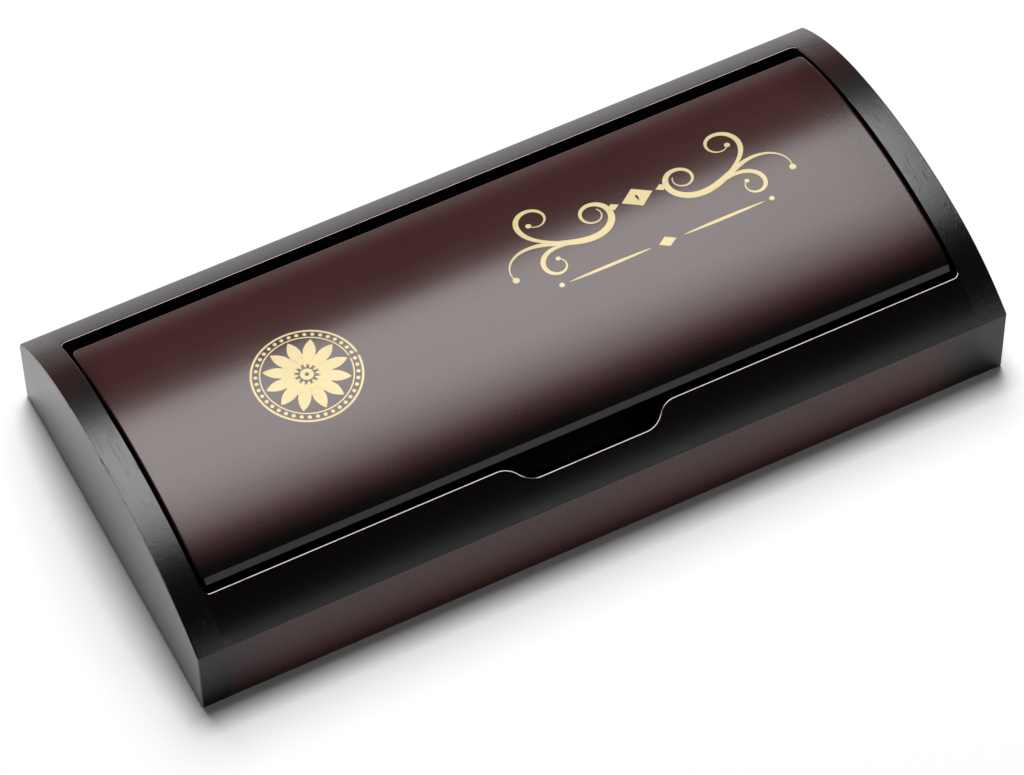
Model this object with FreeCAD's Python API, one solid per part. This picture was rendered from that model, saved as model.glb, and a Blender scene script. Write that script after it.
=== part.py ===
# Pen box: a low wooden case with a crowned top, whose lid is let into the crown
# and swings on two pivot pins near the back. Millimetres, Z up, the front towards -Y,
# the origin at the middle of the underside.
import FreeCAD, Part
import math
import os

V = FreeCAD.Vector

# Outside of the case
CASE_LENGTH = 175.0
CASE_DEPTH = 83.2
EDGE_HEIGHT = 17.2          # the upright front and back faces
CROWN_HEIGHT = 29.2         # the top of the crown
CROWN_RADIUS = 95.0         # the flatter middle of the crown
CROWN_REACH = 20.5          # from the middle to where the tighter shoulders start
CREASE_RADIUS = 0.5         # front face to crown
BACK_ROUNDING = 2.5         # crown to back face
FOOT_CHAMFER = 0.4
END_ARRIS = 0.35            # eased edge round each end face

# Frame
END_THICKNESS = 6.0
FRONT_LAND = 9.1            # front face to the lid opening, on the crown
BACK_THICKNESS = 7.4
OPENING_CORNER = 1.3
OPENING_ARRIS = 0.3         # bevelled edge of the lid opening and finger notch
LEDGE_HEIGHT = 14.2
LEDGE_WIDTH = 7.0           # the step that the lid's front rim closes on

# Finger notch in the front rail
NOTCH_LAND = 5.55           # front face to the notch wall
NOTCH_FLAT = 22.8           # straight part of the notch wall
NOTCH_MOUTH = 38.2          # length of the notch where it meets the opening
NOTCH_CENTRE = -1.0         # cut a little to the left of the middle
NOTCH_FLOOR = 12.4
NOTCH_REACH = 2.6           # how far the notch runs in under the lid

# Lid
LID_FRONT_GAP = 1.6
LID_BACK_GAP = 4.1
LID_SIDE_GAP = 0.6
LID_NOSE_BEVEL = 1.0        # bevel along the lid's front edge
LID_ARRIS = 0.4
LID_BACK_CORNER = 1.3
LID_WALL = 5.0
LID_CLOSED_GAP = 0.3        # lid rim over the ledge
RIM_FRONT = 6.4
RIM_SIDE = 10.0
RIM_BACK = 9.0
HOLLOW_CORNER = 3.0
LID_LINING_THICKNESS = 1.4
LINING_PLAY = 0.3

# Pivots
PIVOT_FROM_LID_BACK = 4.0
PIVOT_HEIGHT = 19.1
PIN_DIAMETER = 2.0
PIN_LENGTH = 12.0
PIN_SEAT = 4.2              # length of pin in the end board
PIN_CHAMFER = 0.3
BUSH_DIAMETER = 3.5
BUSH_PLAY = 0.05            # on the radius
BUSH_LENGTH = 7.5           # length of bush in the lid
BUSH_FLANGE_DIAMETER = 5.0
BUSH_FLANGE = 0.3

# Magnets, one pair under each half of the lid's front rim
MAGNET_DIAMETER = 4.0
MAGNET_THICKNESS = 1.8
MAGNET_SPACING = 116.0

# Dowels at the four corners
DOWEL_DIAMETER = 3.0
DOWEL_LENGTH = 10.0
DOWEL_IN_END = 4.0

# Base, felt and inside linings
BASE_THICKNESS = 3.0
FELT_THICKNESS = 0.8
FELT_INSET = 0.4
REBATE_DEPTH = 2.5          # how far the base is let into the frame
LINING_THICKNESS = 0.8
LINING_HEIGHT = 8.4

# Pen tray
TRAY_THICKNESS = 5.6
TRAY_PLAY = 0.2
TRAY_LIP_RADIUS = 0.8
GROOVE_RADIUS = 6.5
GROOVE_DEPTH = 4.3
GROOVE_LENGTH = 150.0
GROOVE_SPACING = 27.0
SCOOP_WIDTH = 26.0
SCOOP_DEPTH = 4.2
SCOOP_REACH = 46.0

# Worked out from the dimensions above
HALF_LENGTH = CASE_LENGTH / 2
HALF_DEPTH = CASE_DEPTH / 2
CROWN_CENTRE = CROWN_HEIGHT - CROWN_RADIUS
CROWN_TURN = math.asin(CROWN_REACH / CROWN_RADIUS)
SHOULDER_JOIN = V(0, CROWN_REACH, CROWN_CENTRE + CROWN_RADIUS * math.cos(CROWN_TURN))
CROWN_FALL = V(0, -math.sin(CROWN_TURN), -math.cos(CROWN_TURN))
SHOULDER_CHORD = V(0, HALF_DEPTH, EDGE_HEIGHT) - SHOULDER_JOIN
SHOULDER_RADIUS = SHOULDER_CHORD.dot(SHOULDER_CHORD) / (2 * SHOULDER_CHORD.dot(CROWN_FALL))
SHOULDER_CENTRE = SHOULDER_JOIN + CROWN_FALL * SHOULDER_RADIUS
INSIDE_X = HALF_LENGTH - END_THICKNESS
OPENING_FRONT = FRONT_LAND - HALF_DEPTH
OPENING_BACK = HALF_DEPTH - BACK_THICKNESS
CAVITY_FRONT = OPENING_FRONT + LEDGE_WIDTH
NOTCH_WALL = NOTCH_LAND - HALF_DEPTH
BASE_TOP = FELT_THICKNESS + BASE_THICKNESS
LID_X = INSIDE_X - LID_SIDE_GAP
LID_FRONT = OPENING_FRONT + LID_FRONT_GAP
LID_BACK = OPENING_BACK - LID_BACK_GAP
LID_BOTTOM = LEDGE_HEIGHT + LID_CLOSED_GAP
PIVOT_Y = LID_BACK - PIVOT_FROM_LID_BACK
MAGNET_Y = (LID_FRONT + CAVITY_FRONT) / 2
OVER = 5.0                  # how far a cutting block runs past what it cuts


def crown_join(below=0.0):
    """How far from the middle the crown, or a line so far below it, turns into a shoulder."""
    return (CROWN_RADIUS - below) * math.sin(CROWN_TURN)


def crown_z(y, below=0.0):
    """Height of the three-centred crown, or of a line so far below it."""
    if abs(y) <= crown_join(below):
        return CROWN_CENTRE + math.sqrt((CROWN_RADIUS - below) ** 2 - y ** 2)
    out = abs(y) - SHOULDER_CENTRE.y
    return SHOULDER_CENTRE.z + math.sqrt((SHOULDER_RADIUS - below) ** 2 - out ** 2)


def crown_edges(x, front, back, below=0.0):
    """The crown's arcs at x, from front to back: shoulder, middle and shoulder."""
    join = crown_join(below)
    stops = [front] + [y for y in (-join, join) if front < y < back] + [back]
    edges = []
    for start, end in zip(stops, stops[1:]):
        points = [(x, y, crown_z(y, below)) for y in (start, (start + end) / 2, end)]
        edges.append(arc(*points))
    return edges


def block(x0, x1, y0, y1, z0, z1):
    return Part.makeBox(x1 - x0, y1 - y0, z1 - z0, V(x0, y0, z0))


def line(a, b):
    return Part.LineSegment(V(*a), V(*b)).toShape()


def arc(a, middle, b):
    return Part.Arc(V(*a), V(*middle), V(*b)).toShape()


def prism(edges, direction):
    return Part.Face(Part.Wire(edges)).extrude(V(*direction))


def crowned_block(half_length, front, back, bottom, below=0.0):
    """A block with flat ends whose top is the crown, or a line so far below it."""
    x = -half_length
    edges = [line((x, front, bottom), (x, front, crown_z(front, below)))]
    edges += crown_edges(x, front, back, below)
    edges.append(line((x, back, crown_z(back, below)), (x, back, bottom)))
    edges.append(line((x, back, bottom), (x, front, bottom)))
    return prism(edges, (2 * half_length, 0, 0))


def rounded_prism(half_length, front, back, bottom, top, radius):
    """A block whose four upright corners are rounded."""
    shape = block(-half_length, half_length, front, back, bottom, top)
    upright = [e for e in shape.Edges if is_upright(e)]
    return shape.makeFillet(radius, upright)


def is_upright(edge):
    low, high = edge.BoundBox.ZMin, edge.BoundBox.ZMax
    flat = edge.BoundBox.XLength < 1e-4 and edge.BoundBox.YLength < 1e-4
    return flat and high - low > 1e-4


def runs_along_x(edge, y, z):
    """True for the straight edge along X that passes through (y, z)."""
    box = edge.BoundBox
    straight = box.YLength < 1e-4 and box.ZLength < 1e-4
    return straight and abs(box.YMin - y) < 1e-3 and abs(box.ZMin - z) < 1e-3


def rod(diameter, length, start, direction):
    return Part.makeCylinder(diameter / 2, length, V(*start), V(*direction))


def export(name, shape):
    if not shape.isValid():
        raise ValueError(name + " is not a valid solid")
    shape.exportStep(os.path.join("parts", name + ".step"))
    print(name, len(shape.Solids), round(shape.Volume, 1))


def case_form():
    """The outer form of the closed case, as it is shaped after the frame is glued."""
    form = crowned_block(HALF_LENGTH, -HALF_DEPTH, HALF_DEPTH, 0.0)
    back_edge = [e for e in form.Edges if runs_along_x(e, HALF_DEPTH, EDGE_HEIGHT)]
    form = form.makeFillet(BACK_ROUNDING, back_edge)
    crease = [e for e in form.Edges if runs_along_x(e, -HALF_DEPTH, EDGE_HEIGHT)]
    form = form.makeFillet(CREASE_RADIUS, crease)
    foot = [e for e in form.Edges if abs(e.BoundBox.ZMax) < 1e-3 and e.BoundBox.XLength > 1]
    form = form.makeChamfer(FOOT_CHAMFER, foot)
    ends = [e for e in form.Edges if e.BoundBox.XLength < 1e-4]
    return form.makeChamfer(END_ARRIS, ends)


def notch_block():
    """The finger notch: a flat wall that swings out to the opening in two S bends."""
    step = FRONT_LAND - NOTCH_LAND
    reach = (NOTCH_MOUTH - NOTCH_FLAT) / 2
    bend = (reach ** 2 + step ** 2) / (4 * step)
    turn = math.asin(reach / (2 * bend))
    flat, mouth = NOTCH_FLAT / 2, NOTCH_MOUTH / 2
    z = NOTCH_FLOOR
    edges = [line((-flat, NOTCH_WALL, z), (flat, NOTCH_WALL, z))]
    for side in (1, -1):
        half = (side * (flat + bend * math.sin(turn / 2)),
                NOTCH_WALL + bend * (1 - math.cos(turn / 2)), z)
        join = (side * (flat + reach / 2), NOTCH_WALL + step / 2, z)
        late = (side * (mouth - bend * math.sin(turn / 2)),
                OPENING_FRONT - bend * (1 - math.cos(turn / 2)), z)
        edges.append(arc((side * flat, NOTCH_WALL, z), half, join))
        edges.append(arc(join, late, (side * mouth, OPENING_FRONT, z)))
        edges.append(line((side * mouth, OPENING_FRONT, z),
                          (side * mouth, LID_FRONT + NOTCH_REACH, z)))
    edges.append(line((mouth, LID_FRONT + NOTCH_REACH, z),
                      (-mouth, LID_FRONT + NOTCH_REACH, z)))
    wire = Part.Wire(Part.sortEdges(edges)[0])
    cutter = Part.Face(wire).extrude(V(0, 0, CROWN_HEIGHT))
    cutter.translate(V(NOTCH_CENTRE, 0, 0))
    return cutter


def frame_ring():
    """The four sides of the case in one, with the opening, ledge, notch and base rebate."""
    opening = rounded_prism(INSIDE_X, OPENING_FRONT, OPENING_BACK,
                            LEDGE_HEIGHT, CROWN_HEIGHT + OVER, OPENING_CORNER)
    cavity = block(-INSIDE_X, INSIDE_X, CAVITY_FRONT, OPENING_BACK, -OVER, LEDGE_HEIGHT)
    rebate = block(-INSIDE_X - REBATE_DEPTH, INSIDE_X + REBATE_DEPTH,
                   CAVITY_FRONT - REBATE_DEPTH, OPENING_BACK + REBATE_DEPTH, -OVER, BASE_TOP)
    ring = case_form().cut(opening.fuse(notch_block())).cut(cavity).cut(rebate)
    arris = [e for e in ring.Edges if on_opening_arris(e)]
    return ring.makeChamfer(OPENING_ARRIS, arris)


def on_opening_arris(edge):
    """True for the edges where the opening and notch walls meet the crown."""
    box = edge.BoundBox
    inside = abs(box.XMin) < INSIDE_X + 0.01 and abs(box.XMax) < INSIDE_X + 0.01
    inside = inside and box.YMin > NOTCH_WALL - 0.01 and box.YMax < OPENING_BACK + 0.01
    first, last = edge.ParameterRange
    for share in (0.0, 0.5, 1.0):
        at = edge.valueAt(first + share * (last - first))
        if abs(at.z - crown_z(at.y)) > 0.01:
            return False
    return inside


def dowel_places():
    """Where each dowel's axis crosses the joint: (y, z), two for each rail."""
    back = HALF_DEPTH - BACK_THICKNESS / 2
    front = -HALF_DEPTH + FRONT_LAND
    return [(front - 4.3, 8.0), (front + 2.6, 9.0), (back, 7.0), (back, 14.0)]


def corner_dowels():
    dowels = []
    for side in (-1, 1):
        for y, z in dowel_places():
            start = side * (INSIDE_X + DOWEL_IN_END)
            dowels.append(rod(DOWEL_DIAMETER, DOWEL_LENGTH, (start, y, z), (-side, 0, 0)))
    return dowels


def magnet_discs(bottom):
    discs = []
    for side in (-1, 1):
        x = side * MAGNET_SPACING / 2
        discs.append(rod(MAGNET_DIAMETER, MAGNET_THICKNESS, (x, MAGNET_Y, bottom), (0, 0, 1)))
    return discs


def hinge_pin(side):
    """A steel pin with eased ends, pressed into the end board."""
    start = side * (INSIDE_X + PIN_SEAT)
    pin = rod(PIN_DIAMETER, PIN_LENGTH, (start, PIVOT_Y, PIVOT_HEIGHT), (-side, 0, 0))
    return pin.makeChamfer(PIN_CHAMFER, [e for e in pin.Edges if e.BoundBox.XLength < 1e-4])


def pin_hole(side):
    start = side * (INSIDE_X + PIN_SEAT)
    length = PIN_SEAT + OVER
    return rod(PIN_DIAMETER, length, (start, PIVOT_Y, PIVOT_HEIGHT), (-side, 0, 0))


def hinge_bush(side):
    """A flanged brass bush, pushed into the lid's side."""
    inward = (-side, 0, 0)
    barrel = rod(BUSH_DIAMETER, BUSH_LENGTH, (side * LID_X, PIVOT_Y, PIVOT_HEIGHT), inward)
    face = (side * (LID_X + BUSH_FLANGE), PIVOT_Y, PIVOT_HEIGHT)
    flange = rod(BUSH_FLANGE_DIAMETER, BUSH_FLANGE, face, inward)
    bore = rod(PIN_DIAMETER + 2 * BUSH_PLAY, BUSH_LENGTH + BUSH_FLANGE + OVER, face, inward)
    return barrel.fuse(flange).removeSplitter().cut(bore)


def bush_hole(side):
    start = (side * (LID_X + OVER), PIVOT_Y, PIVOT_HEIGHT)
    return rod(BUSH_DIAMETER, BUSH_LENGTH + OVER, start, (-side, 0, 0))


def end_board(ring, side, dowels):
    inner, outer = sorted((side * INSIDE_X, side * (HALF_LENGTH + OVER)))
    board = ring.common(block(inner, outer, -CASE_DEPTH, CASE_DEPTH, -OVER, CROWN_HEIGHT + OVER))
    return board.cut(Part.makeCompound(dowels)).cut(pin_hole(side))


def rail(ring, front, back, holes):
    stock = block(-INSIDE_X, INSIDE_X, front, back, -OVER, CROWN_HEIGHT + OVER)
    return ring.common(stock).cut(Part.makeCompound(holes))


def lid_panel(magnets):
    """The crowned lid: bevelled nose, hollow underside, a rim that carries the hardware."""
    x = -LID_X
    nose_y = LID_FRONT + LID_NOSE_BEVEL
    nose_z = crown_z(nose_y)
    edges = [
        line((x, LID_FRONT, LID_BOTTOM), (x, LID_FRONT, nose_z - LID_NOSE_BEVEL)),
        line((x, LID_FRONT, nose_z - LID_NOSE_BEVEL), (x, nose_y, nose_z)),
    ]
    edges += crown_edges(x, nose_y, LID_BACK)
    edges.append(line((x, LID_BACK, crown_z(LID_BACK)), (x, LID_BACK, LID_BOTTOM)))
    edges.append(line((x, LID_BACK, LID_BOTTOM), (x, LID_FRONT, LID_BOTTOM)))
    panel = prism(edges, (2 * LID_X, 0, 0))
    back_corners = [e for e in panel.Edges if is_upright(e) and e.BoundBox.YMin > 0]
    panel = panel.makeFillet(LID_BACK_CORNER, back_corners)
    brim = [e for e in panel.Edges if e.BoundBox.ZMin > LID_BOTTOM + 1
            and abs(e.BoundBox.YMax - LID_BACK) < 1e-3 and e.BoundBox.XLength > LID_X]
    panel = panel.makeFillet(LID_ARRIS, brim)
    panel = panel.cut(lid_hollow(0.0, LID_WALL))
    for side in (-1, 1):
        panel = panel.cut(bush_hole(side))
    return panel.cut(Part.makeCompound(magnets))


def lid_hollow(play, wall):
    """The hollow under the lid, less so much play all round."""
    front = LID_FRONT + RIM_FRONT + play
    back = LID_BACK - RIM_BACK - play
    half = LID_X - RIM_SIDE - play
    plan = rounded_prism(half, front, back, LID_BOTTOM - OVER, CROWN_HEIGHT, HOLLOW_CORNER)
    return plan.common(crowned_block(LID_X, LID_FRONT, LID_BACK, LID_BOTTOM - OVER, wall))


def lid_lining():
    """A thin covered card that fills the roof of the hollow."""
    whole = lid_hollow(LINING_PLAY, LID_WALL)
    return whole.cut(lid_hollow(-OVER, LID_WALL + LID_LINING_THICKNESS))


def groove(y):
    """A pen groove: a round trough with ball ends."""
    axis_z = BASE_TOP + TRAY_THICKNESS - GROOVE_DEPTH + GROOVE_RADIUS
    reach = GROOVE_LENGTH / 2 - GROOVE_RADIUS
    trough = rod(2 * GROOVE_RADIUS, 2 * reach, (-reach, y, axis_z), (1, 0, 0))
    for side in (-1, 1):
        trough = trough.fuse(Part.makeSphere(GROOVE_RADIUS, V(side * reach, y, axis_z)))
    return trough


def pen_tray():
    """Two pen grooves and a finger scoop across their middle."""
    half = INSIDE_X - LINING_THICKNESS - TRAY_PLAY
    front = CAVITY_FRONT + LINING_THICKNESS + TRAY_PLAY
    back = OPENING_BACK - LINING_THICKNESS - TRAY_PLAY
    middle = (front + back) / 2
    top = BASE_TOP + TRAY_THICKNESS
    tray = block(-half, half, front, back, BASE_TOP, top)
    for side in (-1, 1):
        tray = tray.cut(groove(middle + side * GROOVE_SPACING / 2))
    radius = (SCOOP_WIDTH ** 2 / 4 + SCOOP_DEPTH ** 2) / (2 * SCOOP_DEPTH)
    start = (0, middle - SCOOP_REACH / 2, top - SCOOP_DEPTH + radius)
    tray = tray.cut(rod(2 * radius, SCOOP_REACH, start, (0, 1, 0)))
    brim = [e for e in tray.Edges if is_outer_brim(e, half, front, back, top)]
    return tray.makeFillet(TRAY_LIP_RADIUS, brim)


def is_outer_brim(edge, half, front, back, top):
    box = edge.BoundBox
    if abs(box.ZMin - top) > 1e-4 or abs(box.ZMax - top) > 1e-4:
        return False
    at_end = box.XLength < 1e-4 and abs(abs(box.XMin) - half) < 1e-4
    at_side = box.YLength < 1e-4 and min(abs(box.YMin - front), abs(box.YMin - back)) < 1e-4
    return at_end or at_side


def wall_linings():
    """Four covered strips that line the inside walls above the base."""
    low, high = BASE_TOP, BASE_TOP + LINING_HEIGHT
    thick = LINING_THICKNESS
    inner = INSIDE_X - thick
    return {
        "front_wall_lining": block(-inner, inner, CAVITY_FRONT, CAVITY_FRONT + thick, low, high),
        "back_wall_lining": block(-inner, inner, OPENING_BACK - thick, OPENING_BACK, low, high),
        "left_wall_lining": block(-INSIDE_X, -inner, CAVITY_FRONT, OPENING_BACK, low, high),
        "right_wall_lining": block(inner, INSIDE_X, CAVITY_FRONT, OPENING_BACK, low, high),
    }


def base_board():
    return block(-INSIDE_X - REBATE_DEPTH, INSIDE_X + REBATE_DEPTH,
                 CAVITY_FRONT - REBATE_DEPTH, OPENING_BACK + REBATE_DEPTH,
                 FELT_THICKNESS, BASE_TOP)


def base_felt():
    margin = REBATE_DEPTH - FELT_INSET
    return block(-INSIDE_X - margin, INSIDE_X + margin,
                 CAVITY_FRONT - margin, OPENING_BACK + margin, 0.0, FELT_THICKNESS)


os.makedirs("parts", exist_ok=True)

ring = frame_ring()
dowels = corner_dowels()
rail_magnets = magnet_discs(LEDGE_HEIGHT - MAGNET_THICKNESS)
lid_magnets = magnet_discs(LID_BOTTOM)

for name, side in (("left_end_board", -1), ("right_end_board", 1)):
    export(name, end_board(ring, side, dowels))
export("front_rail", rail(ring, -HALF_DEPTH, CAVITY_FRONT, dowels + rail_magnets))
export("back_rail", rail(ring, OPENING_BACK - OPENING_CORNER, HALF_DEPTH, dowels))
export("corner_dowels", Part.makeCompound(dowels))
export("rail_magnets", Part.makeCompound(rail_magnets))

for name, side in (("left_hinge_pin", -1), ("right_hinge_pin", 1)):
    export(name, hinge_pin(side))
for name, side in (("left_hinge_bush", -1), ("right_hinge_bush", 1)):
    export(name, hinge_bush(side))

export("lid_panel", lid_panel(lid_magnets))
export("lid_lining", lid_lining())
export("lid_magnets", Part.makeCompound(lid_magnets))

export("base_board", base_board())
export("base_felt", base_felt())
export("pen_tray", pen_tray())
for name, shape in wall_linings().items():
    export(name, shape)
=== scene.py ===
import bmesh
import bpy
import math
from mathutils import Matrix, Vector, noise


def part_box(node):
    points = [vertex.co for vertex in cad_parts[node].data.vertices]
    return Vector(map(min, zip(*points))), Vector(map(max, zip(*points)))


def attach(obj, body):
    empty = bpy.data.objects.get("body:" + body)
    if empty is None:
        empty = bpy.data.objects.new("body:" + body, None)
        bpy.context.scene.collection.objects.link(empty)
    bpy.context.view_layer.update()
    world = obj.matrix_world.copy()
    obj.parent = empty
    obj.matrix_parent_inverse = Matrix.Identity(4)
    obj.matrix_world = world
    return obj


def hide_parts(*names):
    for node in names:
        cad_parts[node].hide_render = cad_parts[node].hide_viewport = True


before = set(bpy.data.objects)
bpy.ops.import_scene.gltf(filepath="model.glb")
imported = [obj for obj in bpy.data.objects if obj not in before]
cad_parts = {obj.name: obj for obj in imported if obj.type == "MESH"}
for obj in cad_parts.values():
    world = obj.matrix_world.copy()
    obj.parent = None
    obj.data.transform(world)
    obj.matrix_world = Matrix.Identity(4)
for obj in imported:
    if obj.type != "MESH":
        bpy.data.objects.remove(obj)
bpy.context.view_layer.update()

# Camera
# The photograph was taken from the front left, well above the box, with a long lens.
# The place, the turn and the lens were solved from the case's own corners and arcs.
def added(name, data):
    """A new object in the scene, at the origin."""
    thing = bpy.data.objects.new(name, data)
    bpy.context.scene.collection.objects.link(thing)
    return thing


camera_data = bpy.data.cameras.new("camera")
camera_data.lens = 177.505
camera_data.sensor_width = 36.0
camera_data.sensor_fit = "HORIZONTAL"
camera_data.clip_start = 0.05
camera_data.clip_end = 50.0
camera = added("camera", camera_data)
camera.location = (-0.26020, -0.53254, 0.80945)
camera.rotation_euler = [math.radians(a) for a in (36.1279, 0.7266, -26.9873)]
bpy.context.scene.camera = camera
bpy.context.scene.view_settings.view_transform = "Standard"

# Studio floor and light
# A white sweep under the box. One softbox above and behind, dimmed towards its near edge,
# lies along the lid as a pale band; a low glow, a weak front lamp and a top lamp fill in.
floor_colour = (0.83, 0.83, 0.83, 1.0)
floor_half = 6.0
floor_level = -0.00005
room_light = 0.02


def mesh_of(name, points, faces):
    mesh = bpy.data.meshes.new(name)
    mesh.from_pydata(points, [], faces)
    return mesh


def fed(tree, node, inputs):
    """Sets a node's inputs, or links those whose value is another node's output."""
    for socket, value in inputs.items():
        if isinstance(value, bpy.types.NodeSocket):
            tree.links.new(value, node.inputs[socket])
        else:
            node.inputs[socket].default_value = value
    return node


def painted(name):
    """A new material with its node tree and its shader."""
    paint = bpy.data.materials.new(name)
    paint.use_nodes = True
    return paint, paint.node_tree, paint.node_tree.nodes["Principled BSDF"]


floor = added("floor", mesh_of(
    "floor", [(-floor_half, -floor_half, floor_level), (floor_half, -floor_half, floor_level),
              (floor_half, floor_half, floor_level), (-floor_half, floor_half, floor_level)],
    [(0, 1, 2, 3)]))
floor_paint, floor_tree, floor_shader = painted("floor_paint")
fed(floor_tree, floor_shader,
    {"Base Color": floor_colour, "Roughness": 0.9, "Specular IOR Level": 0.0})
floor.data.materials.append(floor_paint)

world = bpy.data.worlds.new("room")
world.use_nodes = True
fed(world.node_tree, world.node_tree.nodes["Background"],
    {"Color": (1.0, 1.0, 1.0, 1.0), "Strength": room_light})
bpy.context.scene.world = world


def softbox(name, towards, distance, width, height, radiance, in_gloss=True):
    """A rectangular lamp that faces the box from a given direction, its width along X."""
    lamp = bpy.data.lights.new(name, "AREA")
    lamp.shape = "RECTANGLE"
    lamp.size, lamp.size_y = width, height
    lamp.energy = radiance * math.pi * width * height
    place = added(name, lamp)
    aim = Vector(towards).normalized()
    across = (Vector((1.0, 0.0, 0.0)) - aim * aim.x).normalized()
    turned = Matrix((across, aim.cross(across), aim)).transposed()
    place.matrix_world = Matrix.Translation(aim * distance) @ turned.to_4x4()
    place.visible_glossy = in_gloss


back_distance, back_width = 1.58, 0.95
for number, (low, high, radiance) in enumerate(
        ((47.0, 71.0, 5.9), (71.0, 77.0, 5.1), (77.0, 82.0, 3.2), (82.0, 87.0, 1.2),
         (87.0, 92.0, 0.25))):
    middle, half = math.radians(high + low) / 2, math.radians(high - low) / 2
    softbox("back_softbox_" + str(number), (0.137, math.cos(middle), math.sin(middle)),
            back_distance, back_width, 2 * back_distance * math.tan(half), radiance)
softbox("horizon_glow", (0.258, 0.96, 0.13), 2.0, 2.6, 0.50, 0.5)
softbox("front_fill", (0.36, -0.80, 0.54), 1.6, 1.05, 0.95, 0.95)
softbox("top_fill", (0.06, 0.20, 1.0), 1.6, 0.50, 0.50, 22.0, in_gloss=False)

# End boards
# Solid hardwood boards that run the full depth of the case and show its crowned outline.
# They are doweled to the rails, shaped with them, eased at the edges and lacquered black.
# The outer faces carry painted grey, a painted reflection of the pale floor, and the top edge
# of those faces is paler, partly lacquer rubbed through and partly painted highlight.
left_low, left_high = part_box("left_end_board")
half_length = -left_low.x
half_depth = left_high.y
crown_height = left_high.z
inside_x = -left_high.x
edge_height = 0.0172
crown_radius = 0.0950
crown_reach = 0.0205
crease_radius = 0.0005
back_rounding = 0.0025
foot_chamfer = 0.0004
end_rounding = 0.00035
opening_arris = 0.00028
front_land = 0.0091
back_thickness = 0.0074
opening_corner = 0.0013
rebate = 0.0025
dowel_radius = 0.0015
dowel_length = 0.0100
dowel_in_end = 0.0040
base_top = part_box("base_board")[1].z
opening_front = front_land - half_depth
opening_back = half_depth - back_thickness
cavity_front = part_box("front_rail")[1].y
front_dowels = [(opening_front - 0.0043, 0.0080), (opening_front + 0.0026, 0.0090)]
back_dowels = [(half_depth - back_thickness / 2, z) for z in (0.0070, 0.0140)]

black_lacquer = (0.0009, 0.0005, 0.0005, 1.0)
red_lacquer = (0.0410, 0.0135, 0.0122, 1.0)
worn_and_lit_pink = (0.34, 0.29, 0.28, 1.0)

crown_centre = crown_height - crown_radius
crown_turn = math.asin(crown_reach / crown_radius)
crown_fall = Vector((-math.sin(crown_turn), -math.cos(crown_turn)))
crown_join = Vector((crown_reach, crown_centre + crown_radius * math.cos(crown_turn)))
shoulder_chord = Vector((half_depth, edge_height)) - crown_join
shoulder_radius = shoulder_chord.length_squared / (2 * shoulder_chord.dot(crown_fall))
shoulder = crown_join + crown_fall * shoulder_radius


def evenly(start, end, steps):
    """Values from start to end in equal steps, both included."""
    return [start + (end - start) * i / steps for i in range(steps + 1)]


def crown_z(y, below=0.0):
    """Height of the three-centred crown, or of a line so far below it."""
    if abs(y) <= (crown_radius - below) * math.sin(crown_turn):
        return crown_centre + math.sqrt((crown_radius - below) ** 2 - y ** 2)
    return shoulder.y + math.sqrt((shoulder_radius - below) ** 2 - (abs(y) - shoulder.x) ** 2)


def crown_run(start, end, steps, below=0.0):
    """Points (y, z) along the crown, or so far straight in from it, both ends included."""
    run = []
    for y in evenly(start, end, steps):
        centre = Vector((0.0, crown_centre))
        if abs(y) > crown_reach:
            centre = Vector((math.copysign(shoulder.x, y), shoulder.y))
        out = Vector((y, crown_z(y))) - centre
        run.append(tuple(centre + out * (1 - below / out.length)))
    return run


def arc_points(centre, radius, start, end, steps):
    """Points (y, z) along an arc, both ends included."""
    return [(centre[0] + radius * math.cos(a), centre[1] + radius * math.sin(a))
            for a in evenly(start, end, steps)]


def rounding(wall, side, radius):
    """A rounding from an upright face to the crown: centre, meeting angle and y where it meets."""
    y = wall + side * radius
    z = crown_z(y, radius)
    meet = math.atan2(z - shoulder.y, y + side * shoulder.x)
    return (y, z), meet, y + radius * math.cos(meet)


def lofted(name, sections, bands=None):
    """A closed mesh skinned over a row of outlines; bands gives some strips a finish."""
    count = len(sections[0])
    points = [p for section in sections for p in section]
    faces, finishes = [], []
    for s in range(len(sections) - 1):
        for k in range(count):
            a, b = s * count + k, s * count + (k + 1) % count
            faces.append((a, b, b + count, a + count))
            finishes.append((bands or {}).get(k, 0))
    last = (len(sections) - 1) * count
    faces.append(tuple(range(count)))
    faces.append(tuple(range(last, last + count)))
    finishes += [0, 0]
    mesh = mesh_of(name, points, faces)
    mesh.polygons.foreach_set("material_index", finishes)
    return finished(name, mesh)


def finished(name, mesh, sharp=0.6):
    """Merges doubles, turns the faces outwards and smooths all but the sharp edges."""
    work = bmesh.new()
    work.from_mesh(mesh)
    bmesh.ops.remove_doubles(work, verts=work.verts, dist=2e-7)
    bmesh.ops.dissolve_degenerate(work, edges=work.edges, dist=2e-7)
    bmesh.ops.recalc_face_normals(work, faces=work.faces)
    work.to_mesh(mesh)
    work.free()
    mesh.shade_smooth()
    mesh.set_sharp_from_angle(angle=sharp)
    piece = added(name, mesh)
    weighted = piece.modifiers.new("even shading", "WEIGHTED_NORMAL")
    weighted.keep_sharp = True
    return piece


def drawn_mesh(name, draw):
    """A mesh made by a function that draws into a new bmesh."""
    work = bmesh.new()
    draw(work)
    mesh = bpy.data.meshes.new(name)
    work.to_mesh(mesh)
    work.free()
    return mesh


def round_bar(radius, start, end):
    """A plain round bar between two points, to cut a hole with."""
    start, end = Vector(start), Vector(end)
    turned = (end - start).to_track_quat("Z", "Y").to_matrix().to_4x4()
    return added("bar", drawn_mesh("bar", lambda work: bmesh.ops.create_cone(
        work, cap_ends=True, segments=32, radius1=radius, radius2=radius,
        depth=(end - start).length, matrix=Matrix.Translation((start + end) / 2) @ turned)))


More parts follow.
